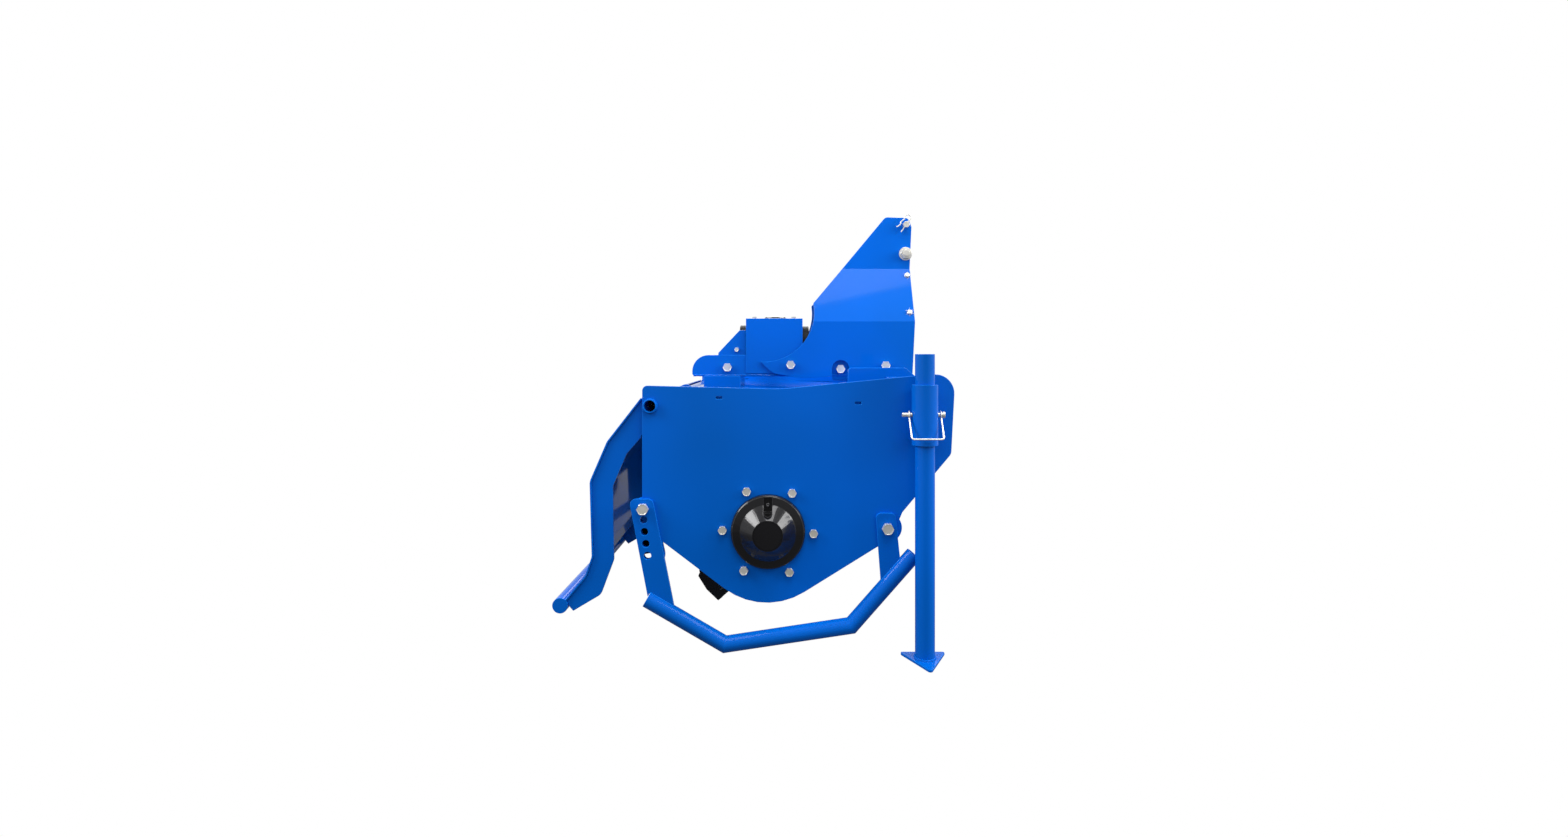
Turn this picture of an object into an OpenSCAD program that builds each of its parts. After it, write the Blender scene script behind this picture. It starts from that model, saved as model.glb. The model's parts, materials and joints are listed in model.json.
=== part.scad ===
// Rotary tiller for a category 1 three-point hitch.
// +X points to the tractor, +Y to the machine's left, +Z up; millimetres.
// The origin is on the ground, under the middle of the machine's outline.
// Inside the modules, x is counted from the rotor's axis and place() moves it to the origin.

/* [Frame] */
// Width over the two side plates
width = 1250; // [1100:10:1600]
// Thickness of a side plate
side_t = 8; // [6:1:10]
// Height of the rotor's axis above the ground
rotor_z = 283; // [275:1:290]
// Height of the deck's top face
deck_z = 600; // [596:1:604]
// Thickness of the deck sheet
deck_t = 5; // [3:0.5:8]
// Height of the cross members on the deck, where the saddle stands
seat_z = 634; // [630:1:638]

/* [Rotor] */
// Radius that the tine tips sweep
tine_r = 230; // [200:1:240]
// Outer diameter of the rotor's tube
rotor_tube_d = 89; // [76:1:102]
// Radius of a tine flange
flange_r = 115; // [105:1:125]
// Tine thickness
tine_t = 8; // [6:0.5:10]
// Length of a tine's bent foot along the rotor
tine_foot = 62; // [45:1:75]
// Diameter of the journals, the cross shaft and the idler's axle
shaft_d = 40; // [34:1:46]

/* [Drive] */
// Module of the spur gears in the side case
gear_m = 6; // [5.9:0.05:6.1]
// Face width of the spur gears
gear_w = 30; // [20:1:32]
// Teeth of the drive gear on the cross shaft
drive_teeth = 23;
// Teeth of the idler
idler_teeth = 50;
// Teeth of the rotor's gear
rotor_teeth = 26;
// Module of the bevel gears
bevel_m = 3.6; // [3.4:0.05:3.7]
// Teeth of the bevel pinion
pinion_teeth = 14;
// Teeth of the crown gear
crown_teeth = 32;
// Diameter of the splined input shaft, 1 3/8 inch
pto_d = 34.93;
// How far the input shaft stands out of the gearbox
pto_out = 130; // [90:5:180]

/* [Hitch] */
// Distance between the lower studs' shoulders
lower_span = 682; // [640:2:720]
// Diameter of the lower studs, category 1
lower_d = 22; // [20:0.5:25]
// Length of a lower stud outside its bracket
lower_out = 98; // [80:1:120]
// Height of the lower hitch point
lower_z = 557; // [550:1:565]
// Height from the lower studs to the top link pin
mast_h = 550; // [540:5:600]
// Diameter of the top link pin, category 1
top_pin_d = 19; // [16:0.5:22]
// Inside width of the clevis at the mast's top
clevis_w = 64; // [52:1:76]
// Distance between the mast plates' inner faces at their foot
mast_w = 190; // [186:2:230]
// Thickness of the mast plates
mast_t = 8; // [6:1:10]

/* [Tailgate] */
// Outer diameter of the hinge tube
hinge_d = 32; // [28:1:36]
// Wall of the hinge tube
hinge_wall = 2.5; // [2:0.5:4]
// Thickness of the tailgate sheet
gate_t = 4; // [3:0.5:6]
// Outer diameter of the tube along the tailgate's lower edge
gate_tube_d = 37; // [30:1:42]

/* [Skids and stands] */
// Outer diameter of the skid runner
runner_d = 38; // [34:1:42]
// Thickness of the skid's lugs
skid_t = 8; // [6:1:10]
// Outer diameter of the parking stand's tube
stand_d = 45; // [38:1:50]
// Wall of the parking stand's sleeve
sleeve_wall = 7.4; // [5:0.1:9]
// Diameter of the stand's lock pin
lock_d = 10; // [8:0.5:12]

/* [Hidden] */
$fn = 64;

blue = "#005ac8";
black = "#141414";
zinc = "#c9c9c4";
steel = "#8a8d90";
bronze = "#b08d57";

run_gap = 0.05;      // radial clearance of a running fit
hole_gap = 0.5;      // radial clearance of a bolt in its hole
slip = 0.2;          // clearance of pieces that slide together by hand

half = width / 2;                 // outer face of a side plate
inner = half - side_t;            // inner face of a side plate
shaft_r = shaft_d / 2;
idler_z = rotor_z + gear_m * (rotor_teeth + idler_teeth) / 2;
cross_z = idler_z + gear_m * (idler_teeth + drive_teeth) / 2;

// Hitch points and how far the machine reaches from the rotor's axis
hitch_x = 443;
hitch_nose = 30;
top_pin_z = lower_z + mast_h;
top_pin_x = 422;
hinge_x = -277;
hinge_z = 578;
gate_tube_x = -493;
gate_tube_z = 104;
rear_reach = gate_tube_d / 2 - gate_tube_x;
front_reach = hitch_x + hitch_nose;
rotor_x = (rear_reach - front_reach) / 2;

// Stack from the machine's middle outwards: saddle, guard, mast plate
mast_y = mast_w / 2;
guard_t = 3;
saddle_t = 8;
saddle_y = mast_y - guard_t - saddle_t;   // inner face of a saddle plate
saddle_top = cross_z - 33;
mast_foot_bolts = [[58, seat_z + 33], [350, seat_z + 31]];
saddle_bolts = [[-137, seat_z + 25], [212, seat_z + 20]];
bolt_m = 16;

// Gearbox
box_rear = -80;
box_front = 116;
box_half_h = 77;
box_bore_r = 36;
box_wall = 5;
top_cover_r = 44;
axle_tube_r = 38;
axle_tube_wall = 6;
tube_gap = 1;
guard_rear = -80;
guard_front = 95;
guard_top = cross_z + box_half_h + guard_t;
guard_bolts = [[-55, 70], [67, 70]];
guard_bolt_in = 22;

// Side case
case_wall = 10;
case_depth = 70;
case_cover_t = 8;
boss_r = 42;
race_r = 35;
gear_y = half + 26;               // inner face of the spur gears

// Rotor
flange_y = inner - 77;            // middle of an end flange
flange_t = 8;
rotor_wall = 6;
tine_count = 6;

// Hub at the right-hand end
hub_spigot_r = 87;
hub_flange_r = 128;
hub_flange_t = 12;
hub_out = 45;
hub_pcd_r = 107;
hub_bolt_m = 12;
hub_angles = [for (i = [0:5]) 60 * i - 2];
left_spigot_r = 60;
bearing_r = 45;

// Skid
skid_front = [280, 292];
skid_rear = [[-292, 338], [-291, 312], [-289, 284], [-286, 256], [-282, 228]];
skid_hole_r = 8.75;
runner_r = runner_d / 2;
mitre_drop = 0.8;                 // how far a mitred corner stands below its tube
runner_path = [[-284, 126], [-101, runner_r + mitre_drop], [195, 64], [342, 231]];
runner_wall = 3;

// Parking stand
stand_x = 360;
sleeve_r = stand_d / 2 + slip + sleeve_wall;
stand_y = half + 15 + sleeve_r;
sleeve_low = 492;
sleeve_high = 630;
stand_high = 700;
lock_z = 561;
foot_t = 6;
foot_nose = 73;
foot_back = 33;
foot_half_w = 54;
wire_r = 2;
bail_x = sleeve_r + 6;
bail_out = sleeve_r + 6;
bail_drop = 52;

// ---------- outlines ----------

function unit(v) = v / norm(v);

// Arc that rounds the corner b between a and c
function fillet(a, b, c, r) =
  r <= 0 ? [b] :
  let (
    u = unit(a - b), v = unit(c - b), bend = acos(u * v),
    o = b + unit(u + v) * r / sin(bend / 2),
    p = b + u * r / tan(bend / 2) - o, q = b + v * r / tan(bend / 2) - o,
    from = atan2(p.y, p.x), sweep = (atan2(q.y, q.x) - from + 540) % 360 - 180,
    steps = max(2, ceil(abs(sweep) / 10))
  )
  [for (i = [0:steps]) o + r * [cos(from + sweep * i / steps), sin(from + sweep * i / steps)]];

function xy(p) = [p[0], p[1]];
function radius(p) = len(p) > 2 ? p[2] : 0;

// Closed outline through [x, z, corner radius] points
function outline(p) = let (n = len(p))
  [for (i = [0:n - 1]) each fillet(xy(p[(i + n - 1) % n]), xy(p[i]), xy(p[(i + 1) % n]), radius(p[i]))];

// Open path through the same kind of points
function path(p) = let (n = len(p))
  [for (i = [0:n - 1]) each
    (i == 0 || i == n - 1) ? [xy(p[i])] : fillet(xy(p[i - 1]), xy(p[i]), xy(p[i + 1]), radius(p[i]))];

function left_of(p, i) = let (d = p[i + 1] - p[i]) [-d.y, d.x] / norm(d);
function beside(p, t) = [for (i = [0:len(p) - 1])
  let (a = left_of(p, max(i - 1, 0)), b = left_of(p, min(i, len(p) - 2))) p[i] + t * (a + b) / (1 + a * b)];

// Section of a bent sheet, t thick on the left of its path
function sheet(p, t) = let (q = beside(p, t))
  concat(p, [for (i = [len(q) - 1:-1:0]) q[i]]);

module link(a, b, ra, rb) {
  n = let (d = unit(b - a)) [-d.y, d.x];
  translate(a) circle(ra);
  translate(b) circle(rb);
  polygon([a + n * ra, b + n * rb, b - n * rb, a - n * ra]);
}

// ---------- placing ----------

module place() translate([rotor_x, 0, 0]) children();

// A piece drawn for the left-hand side, on side s (+1 left, -1 right)
module on_side(s) {
  if (s > 0) children();
  else mirror([0, 1, 0]) children();
}

// Stands a flat shape up in the XZ plane, from y to y + t
module slab(y, t) translate([0, y + t, 0]) rotate([90, 0, 0]) linear_extrude(t) children();

// Bar along Y
module bar(x, z, r, y, l) translate([x, y, z]) rotate([-90, 0, 0]) cylinder(r = r, h = l);

// Ring along Y
module ring(x, z, r, bore, y, l) {
  difference() {
    bar(x, z, r, y, l);
    bar(x, z, bore, y - 1, l + 2);
  }
}

// Hex head on its washer face, standing on the XY plane
module head(m) {
  cylinder(r = 0.76 * m, h = 0.12 * m);
  translate([0, 0, 0.12 * m]) cylinder(r = 0.87 * m, h = 0.65 * m, $fn = 6);
}

// Bolt along Y: head outside y, then shank, washer and nut over the grip inside it
module bolt(x, z, m, y, grip) {
  washer = 0.15 * m;
  translate([x, y, z]) rotate([-90, 0, 0]) {
    head(m);
    translate([0, 0, -grip - washer]) cylinder(r = 1.05 * m, h = washer);
    translate([0, 0, -grip - washer - 0.8 * m]) cylinder(r = 0.87 * m, h = 0.8 * m, $fn = 6);
    translate([0, 0, -grip - washer - m]) cylinder(r = m / 2, h = grip + m + 2 * washer);
  }
}

// Bolt along Y that screws into a blind hole
module screw(x, z, m, y, l) translate([x, y, z]) rotate([-90, 0, 0]) {
  head(m);
  translate([0, 0, -l]) cylinder(r = m / 2, h = l + 1);
}

// ---------- frame ----------

module side_outline() {
  difference() {
    union() {
      polygon(outline([
        [-296, 626, 12], [29, 618, 300], [344, 649, 60], [441, 656, 45], [431, 465, 20],
        [316, 328, 8], [290, 267], [-12, rotor_z - 203, 166], [-256, 265], [-296, 300]
      ]));
      translate(skid_front) circle(35);
      link(skid_rear[0], [-272, 229], 26, 30);
    }
    for (p = skid_rear) translate(p) circle(skid_hole_r);
    translate(skid_front) circle(skid_hole_r);
    translate([hinge_x, hinge_z]) circle(hinge_d / 2);
    for (t = deck_tabs) translate(t - [tab_w / 2 + hole_gap, deck_t + hole_gap])
      square([tab_w + 2 * hole_gap, deck_t + 2 * hole_gap]);
  }
}

// Where the deck's tabs come through the side plates
deck_tabs = [[-115, deck_z], [212, deck_z - 13]];
tab_w = 14;
tab_in = 5;                       // how far a tab ends inside the plate's outer face

module right_side_plate() color(blue) on_side(-1) slab(inner, side_t) difference() {
  side_outline();
  translate([0, rotor_z]) {
    circle(hub_spigot_r + slip);
    for (a = hub_angles) rotate(a) translate([hub_pcd_r, 0]) circle(hub_bolt_m / 2 + hole_gap);
  }
}

module left_side_plate() color(blue) slab(inner, side_t) difference() {
  side_outline();
  translate([0, rotor_z]) {
    circle(left_spigot_r + slip);
    for (a = hub_angles) rotate(a) translate([hub_pcd_r, 0]) circle(hub_bolt_m / 2 + hole_gap);
  }
}

deck_rear = hinge_x + hinge_d / 2 + 14;
deck_path = [[317, deck_z - 17], [-90, deck_z, 200], [deck_rear, deck_z, 18], [deck_rear + 10, deck_z - 75]];

module deck() color(blue) {
  slab(-inner, 2 * inner) polygon(sheet(path(deck_path), deck_t));
  for (s = [-1, 1], t = deck_tabs)
    on_side(s) translate([t.x - tab_w / 2, inner, t.y - deck_t]) cube([tab_w, side_t - tab_in, deck_t]);
}

// Closed beam that reaches from -reach to reach along Y
module box_beam(x, z, w, h, wall, reach) {
  translate([x, -reach, z]) difference() {
    cube([w, 2 * reach, h]);
    translate([wall, wall, wall]) cube([w - 2 * wall, 2 * (reach - wall), h - 2 * wall]);
  }
}

deck_beam_past = 45;              // how far the deck's beam reaches beyond a mast plate
module deck_beam() color(blue) box_beam(-205, deck_z, 110, seat_z - deck_z, 5, mast_y + deck_beam_past);

front_beam_x = 318;
front_beam_w = 80;
module front_beam() color(blue) box_beam(front_beam_x, seat_z - 80, front_beam_w, 80, 6, inner);

module hinge_tube() color(blue)
  ring(hinge_x, hinge_z, hinge_d / 2, hinge_d / 2 - hinge_wall, -half - 9, width + 18);

// ---------- saddle and mast ----------

module saddle() slab(saddle_y, saddle_t) difference() {
  polygon(outline([
    [-246, seat_z, 6], [-246, saddle_top, 50], [398, saddle_top, 12], [398, seat_z]
  ]));
  translate([0, cross_z]) circle(axle_tube_r + tube_gap);
  for (p = concat(saddle_bolts, mast_foot_bolts)) translate(p) circle(bolt_m / 2 + hole_gap);
}
module right_saddle() color(blue) on_side(-1) saddle();
module left_saddle() color(blue) saddle();

mast_arc = [-24, cross_z + 101];
mast_arc_r = 155;
bend_low = cross_z + 69;
bend_high = top_pin_z - 139;
clevis_y = clevis_w / 2;
mast_lean = atan((mast_y - clevis_y) / (bend_high - bend_low));
spacer_z = top_pin_z - 90;

module mast_outline() {
  difference() {
    polygon(outline(concat(
      [for (a = [-94:8:10]) mast_arc + mast_arc_r * [cos(a), sin(a)]],
      [
        [358, top_pin_z + 26, 15], [430, top_pin_z + 24, 15], [441, top_pin_z - 5, 8],
        [435, bend_high], [441, bend_low], [433, seat_z, 8], [250, seat_z, 5], [95, seat_z - 8, 40],
        [5, seat_z + 6, 50]
      ]
    )));
    translate(saddle_bolts[1]) circle(27);
    translate(saddle_bolts[1] - [27, 60]) square([54, 60]);
    for (p = mast_foot_bolts) translate(p) circle(bolt_m / 2 + hole_gap);
    translate([top_pin_x, top_pin_z]) circle(top_pin_d / 2 + slip);
    translate([top_pin_x, spacer_z]) circle(10.5);
  }
}

// Section across the mast plate: upright foot, leaning middle, upright head
module mast_section() translate([-100, 0, 0]) rotate([90, 0, 90]) linear_extrude(600)
  polygon(sheet([
    [mast_y, seat_z - 20], [mast_y, bend_low], [clevis_y, bend_high], [clevis_y, top_pin_z + 40]
  ], -mast_t));

module mast_plate() difference() {
  intersection() {
    slab(0, mast_y + 20) mast_outline();
    mast_section();
  }
  for (p = shield_holes) translate([p.x, p.y, p.z]) rotate([mast_lean - 90, 0, 0])
    translate([0, 0, -12]) cylinder(d = 9, h = 24);
}
module right_mast_plate() color(blue) on_side(-1) mast_plate();
module left_mast_plate() color(blue) mast_plate();

// Outer face of the leaning facet at height z
function lean_y(z) = mast_y - (z - bend_low) * tan(mast_lean) + mast_t / cos(mast_lean);
shield_holes = [for (z = [bend_low + 30, bend_high - 20]) [426, lean_y(z), z]];

module mast_spacer() color(zinc) {
  ring(top_pin_x, spacer_z, 16, 10.1, -clevis_y, clevis_w);
  bolt(top_pin_x, spacer_z, 20, clevis_y + mast_t, clevis_w + 2 * mast_t);
}

module pto_shield() color(blue) {
  x = 414;
  low = bend_low + 6;
  high = bend_high - 6;
  gap = 1.5;
  tab = 24;
  w = function(z) mast_y - (z - bend_low) * tan(mast_lean) - gap;
  translate([x, 0, 0]) rotate([90, 0, 90]) linear_extrude(3)
    polygon([[-w(low), low], [w(low), low], [w(high), high], [-w(high), high]]);
  for (s = [-1, 1]) on_side(s) difference() {
    translate([x, 0, 0]) rotate([90, 0, 90]) linear_extrude(tab)
      polygon([[w(low), low], [w(high), high], [w(high) - 3, high], [w(low) - 3, low]]);
    for (p = shield_holes) translate([p.x, p.y, p.z]) rotate([mast_lean - 90, 0, 0])
      translate([0, 0, -25]) cylinder(d = 9, h = 30);
  }
}

module shield_bolts() color(zinc) for (s = [-1, 1], p = shield_holes) on_side(s)
  translate([p.x, p.y, p.z]) rotate([mast_lean, 0, 0]) bolt(0, 0, 8, 0, mast_t + 6);

module top_link_pin() color(zinc) difference() {
  union() {
    bar(top_pin_x, top_pin_z, top_pin_d / 2, -clevis_y - mast_t - 20, clevis_w + 2 * mast_t + 22);
    bar(top_pin_x, top_pin_z, 14, clevis_y + mast_t + 1, 7);
  }
  translate([top_pin_x, clip_y, top_pin_z]) rotate([0, clip_turn, 0]) cylinder(r = 2.2, h = 60, center = true);
}

clip_y = -clevis_y - mast_t - 12;
clip_turn = 35;
clip_r = 1.9;
clip_ring_r = 9;

module hairpin_clip() color(zinc) translate([top_pin_x, clip_y, top_pin_z]) rotate([0, clip_turn, 0]) {
  translate([0, 0, -28]) cylinder(r = clip_r, h = 50, $fn = 24);
  translate([-clip_ring_r, 0, 22]) rotate([90, 0, 0])
    rotate_extrude(angle = 200, $fn = 48) translate([clip_ring_r, 0]) circle(clip_r, $fn = 24);
}

screw_in = 17;
module mast_bolts() color(zinc) for (s = [-1, 1]) on_side(s) {
  screw(mast_foot_bolts[0].x, mast_foot_bolts[0].y, bolt_m, mast_y + mast_t, mast_y + mast_t - saddle_y + screw_in);
  bolt(mast_foot_bolts[1].x, mast_foot_bolts[1].y, bolt_m, mast_y + mast_t, mast_t + guard_t + saddle_t);
  for (p = saddle_bolts) bolt(p.x, p.y, bolt_m, saddle_y + saddle_t, saddle_t);
  bolt(gusset_bolt.x, gusset_bolt.y, 8, saddle_y, gusset_t);
  for (p = guard_bolts) translate([p.x, p.y, guard_top]) {
    head(8);
    translate([0, 0, -guard_bolt_in]) cylinder(r = 4, h = guard_bolt_in + 1);
  }
}

// ---------- lower hitch ----------

bracket_t = 8;
bracket_gap = 15;
stud_collar = 6;
bracket_y = lower_span / 2 - stud_collar - 2 * bracket_t - bracket_gap;

module hitch_bracket() {
  for (y = [bracket_y, bracket_y + bracket_t + bracket_gap]) slab(y, bracket_t) difference() {
    union() {
      polygon(outline([
        [215, deck_z + 6, 4], [215, 662, 10], [372, 662, 16], [464, 585, 10], [464, 545, 20],
        [420, 528, 10], [front_beam_x + front_beam_w, 536]
      ]));
      translate([hitch_x, lower_z]) circle(hitch_nose);
    }
    translate([front_beam_x - 0.5, 450]) square([front_beam_w + 0.5, seat_z - 450]);
    translate([200, 400]) square([front_beam_x - 200, deck_z - 400 + 3]);
    translate([hitch_x, lower_z]) circle(lower_d / 2);
  }
}
module right_hitch_bracket() color(blue) on_side(-1) hitch_bracket();
module left_hitch_bracket() color(blue) hitch_bracket();

module hitch_studs() color(zinc) for (s = [-1, 1]) on_side(s) difference() {
  union() {
    bar(hitch_x, lower_z, lower_d / 2, bracket_y - 6, lower_span / 2 + lower_out - bracket_y + 6);
    bar(hitch_x, lower_z, 17, bracket_y - 14, 14);
    bar(hitch_x, lower_z, 17, lower_span / 2 - stud_collar, stud_collar);
  }
  translate([hitch_x, lower_span / 2 + lower_out - 14, lower_z]) cylinder(d = 11, h = 60, center = true);
}

// ---------- gearbox ----------

module gearbox_housing() color(black) translate([0, 0, cross_z]) difference() {
  union() {
    translate([box_rear, -saddle_y, -box_half_h])
      cube([box_front - 26 - box_rear, 2 * saddle_y, 2 * box_half_h]);
    rotate([0, 90, 0]) cylinder(r = box_half_h - 18, h = box_front);
    translate([box_rear - 22, 0, 0]) rotate([0, 90, 0]) cylinder(r = 62, h = 24);
  }
  translate([box_rear + box_wall, -saddle_y + 24, -box_half_h + box_wall])
    cube([box_front - 26 - box_rear - 4 * box_wall, 2 * saddle_y - 48, 2 * box_half_h - 2 * box_wall]);
  rotate([90, 0, 0]) cylinder(r = box_bore_r, h = 2 * saddle_y + 2, center = true);
  translate([20, 0, 0]) rotate([0, 90, 0]) cylinder(r = box_bore_r, h = box_front);
  cylinder(r = 30, h = box_half_h + 1);
  for (s = [-1, 1]) on_side(s) {
    bar(mast_foot_bolts[0].x, mast_foot_bolts[0].y - cross_z, bolt_m / 2 + slip, saddle_y - screw_in - 2,
      screw_in + 3);
    for (p = guard_bolts) translate([p.x, p.y, box_half_h - guard_bolt_in]) cylinder(r = 4 + slip, h = 30);
  }
}

module gearbox_cap() color(black) bar(0, cross_z, box_bore_r - slip, -saddle_y, 4);

module gearbox_top_cover() color(black) translate([10, 0, cross_z + box_half_h]) {
  cylinder(r = top_cover_r, h = 6);
  translate([0, 0, 6]) cylinder(r = 35, h = 3);
  intersection() {
    translate([0, 0, 9]) cylinder(r = 35, h = 12);
    translate([0, 0, 18 - 72]) sphere(r = 72, $fn = 96);
  }
  for (a = [45:90:315]) rotate(a) translate([39.5, 0, 5.5]) cylinder(r = 4, h = 4.5, $fn = 6);
}

module gearbox_guard() color(blue) difference() {
  translate([guard_rear, -mast_y, seat_z + 6])
    cube([guard_front - guard_rear, mast_w, guard_top - seat_z - 6]);
  translate([guard_rear - 1, -mast_y + guard_t, seat_z])
    cube([guard_front - guard_rear + 2, mast_w - 2 * guard_t, guard_top - guard_t - seat_z]);
  translate([10, 0, guard_top - 10]) cylinder(r = top_cover_r + 4, h = 20);
  bar(0, cross_z, axle_tube_r + tube_gap, 0, mast_y + 5);
  for (s = [-1, 1]) on_side(s) {
    bar(mast_foot_bolts[0].x, mast_foot_bolts[0].y, bolt_m / 2 + hole_gap, saddle_y, 40);
    for (p = guard_bolts) translate([p.x, p.y, guard_top - 10]) cylinder(r = 4 + hole_gap, h = 20);
  }
}

gusset_t = 8;
gusset_bolt = [-109, cross_z - 16];
module rear_gussets() color(blue) for (s = [-1, 1]) on_side(s) {
  slab(saddle_y - gusset_t, gusset_t) difference() {
    polygon(outline([
      [-172, seat_z + 4, 5], [-166, cross_z - 26, 5], [-100, cross_z + 44, 5], [box_rear - 0.5, cross_z + 44],
      [box_rear - 0.5, seat_z + 4]
    ]));
    translate(saddle_bolts[0]) circle(20);
    translate(gusset_bolt) circle(4.5);
  }
}

module gearbox_bearings() color(steel) {
  for (y = [-saddle_y + 5, saddle_y - 23])
    ring(0, cross_z, box_bore_r, shaft_r + run_gap, y, 18);
  translate([0, 0, cross_z]) rotate([0, 0, -90])
    ring(0, 0, box_bore_r, pto_d / 2 + run_gap, box_front - 30, 22);
}

module input_seal() color(black) translate([0, 0, cross_z]) rotate([0, 0, -90])
  ring(0, 0, box_bore_r, pto_d / 2 + run_gap, box_front - 7, 6);

spline_depth = 2.6;
shaft_end = pitch_cone(crown_teeth) - 24;
module input_shaft() color(steel) translate([0, 0, cross_z]) rotate([0, 90, 0]) difference() {
  translate([0, 0, shaft_end]) cylinder(d = pto_d, h = box_front + pto_out - shaft_end);
  for (a = [0:60:300]) rotate(a) translate([pto_d / 2 - spline_depth, -4, box_front + pto_out - 76])
    cube([10, 8, 80]);
}

// ---------- gears ----------

function inv(a) = tan(a) * 180 / PI - a;

// Involute spur gear outline: tooth flanks through root, base, pitch and tip
function spur(n, m) = let (
  rp = n * m / 2, rb = rp * cos(20), tip = rp + m, root = rp - 1.25 * m,
  half_tooth = 0.46 * 180 / n,
  at = function(r) half_tooth + inv(20) - inv(acos(min(1, rb / r))),
  rs = [root, max(root, rb), rp, tip]
)
  [for (i = [0:n - 1]) each concat(
    [for (r = rs) let (a = 360 / n * i - at(max(r, rb))) r * [cos(a), sin(a)]],
    [for (k = [3:-1:0]) let (r = rs[k], a = 360 / n * i + at(max(r, rb))) r * [cos(a), sin(a)]]
  )];

module spur_gear(z, n, turn, bore) translate([0, 0, z]) slab(gear_y, gear_w) difference() {
  rotate(turn) polygon(spur(n, gear_m));
  circle(bore);
}

function pitch_cone(n) = bevel_m * n / 2;
bevel_addendum = 0.88 * bevel_m;
bevel_dedendum = 1.15 * bevel_m;
bevel_face = 0.3;                 // share of the cone's length that carries teeth

// Bevel gear that narrows towards the crossing point of the axes, which is at z = far
module bevel_teeth(n, far) {
  r = pitch_cone(n);
  slant = cos(atan(r / far));
  pitch = 360 / n;
  pts = [for (i = [0:n - 1]) each [
    (r - bevel_dedendum / slant) * [cos(pitch * (i - 0.36)), sin(pitch * (i - 0.36))],
    (r + bevel_addendum / slant) * [cos(pitch * (i - 0.12)), sin(pitch * (i - 0.12))],
    (r + bevel_addendum / slant) * [cos(pitch * (i + 0.12)), sin(pitch * (i + 0.12))],
    (r - bevel_dedendum / slant) * [cos(pitch * (i + 0.36)), sin(pitch * (i + 0.36))]
  ]];
  linear_extrude(far * bevel_face, scale = 1 - bevel_face) polygon(pts);
}

module bevel_pinion() color(steel) translate([pitch_cone(crown_teeth), 0, cross_z]) rotate([0, -90, 0])
  difference() {
    union() {
      rotate(180 / pinion_teeth - 90) bevel_teeth(pinion_teeth, pitch_cone(crown_teeth));
      translate([0, 0, -12]) cylinder(d = pto_d + 6, h = 12);
    }
    translate([0, 0, -20]) cylinder(d = pto_d, h = 60);
  }

module crown_gear() color(steel) translate([0, -pitch_cone(pinion_teeth), cross_z]) rotate([-90, 0, 0])
  difference() {
    union() {
      bevel_teeth(crown_teeth, pitch_cone(pinion_teeth));
      translate([0, 0, -10]) cylinder(r = 42, h = 10);
    }
    translate([0, 0, -20]) cylinder(r = shaft_r, h = 60);
  }

module cross_shaft() color(steel)
  bar(0, cross_z, shaft_r, -saddle_y + 5, half + case_depth + saddle_y - 7);

module axle_tube() color(blue)
  ring(0, cross_z, axle_tube_r, axle_tube_r - axle_tube_wall, saddle_y, inner - saddle_y);

module drive_gear() color(steel) spur_gear(cross_z, drive_teeth, 180 / drive_teeth - 90, shaft_r);
module idler_gear() color(steel) spur_gear(idler_z, idler_teeth, 90, shaft_r + 8);
module rotor_gear() color(steel) spur_gear(rotor_z, rotor_teeth, 90 + 180 / rotor_teeth, shaft_r);
module idler_bushing() color(bronze)
  ring(0, idler_z, shaft_r + 8, shaft_r + run_gap, gear_y, gear_w);
module idler_axle() color(steel) {
  bar(0, idler_z, shaft_r, half + case_wall, case_depth - case_wall);
  for (y = [half + case_wall, gear_y + gear_w + 1])
    ring(0, idler_z, shaft_r + 12, shaft_r, y, y < gear_y ? gear_y - y - 1 : half + case_depth - y);
}

// ---------- side case ----------

case_top_r = gear_m * drive_teeth / 2 + 26;
case_mid_r = gear_m * idler_teeth / 2 + 22;
case_low_r = gear_m * rotor_teeth / 2 + 32;
module case_outline(grow) {
  polygon(outline([
    [-case_top_r - grow, cross_z + case_top_r + grow, case_top_r - 3],
    [case_top_r + grow, cross_z + case_top_r + grow, case_top_r - 3],
    [case_mid_r + grow, idler_z + 89, 100], [case_mid_r + grow, idler_z - 91, 100],
    [case_low_r + grow, rotor_z - case_low_r - grow, case_low_r - 6],
    [-case_low_r - grow, rotor_z - case_low_r - grow, case_low_r - 6],
    [-case_mid_r - grow, idler_z - 91, 100], [-case_mid_r - grow, idler_z + 89, 100]
  ]));
}

case_bolt_spots = [
  [0, cross_z + case_top_r + 5],
  [-case_top_r + 14, cross_z + case_top_r - 14], [case_top_r - 14, cross_z + case_top_r - 14],
  [-case_mid_r, idler_z], [case_mid_r, idler_z],
  [-case_low_r + 10, rotor_z - case_low_r + 30], [case_low_r - 10, rotor_z - case_low_r + 30],
  [0, rotor_z - case_low_r - 5]
];

module gear_case() color(blue) {
  difference() {
    union() {
      slab(half, case_depth) case_outline(case_wall);
      for (p = case_bolt_spots) bar(p.x, p.y, 12, half, case_depth);
    }
    slab(half + case_wall, case_depth) case_outline(0);
    bar(0, rotor_z, left_spigot_r + slip, half - 1, 20);
    bar(0, cross_z, race_r, half - 1, 20);
    for (p = case_bolt_spots) bar(p.x, p.y, 4, half + 30, 60);
  }
  ring(0, cross_z, boss_r, race_r, half + case_wall, 12);
}

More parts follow.
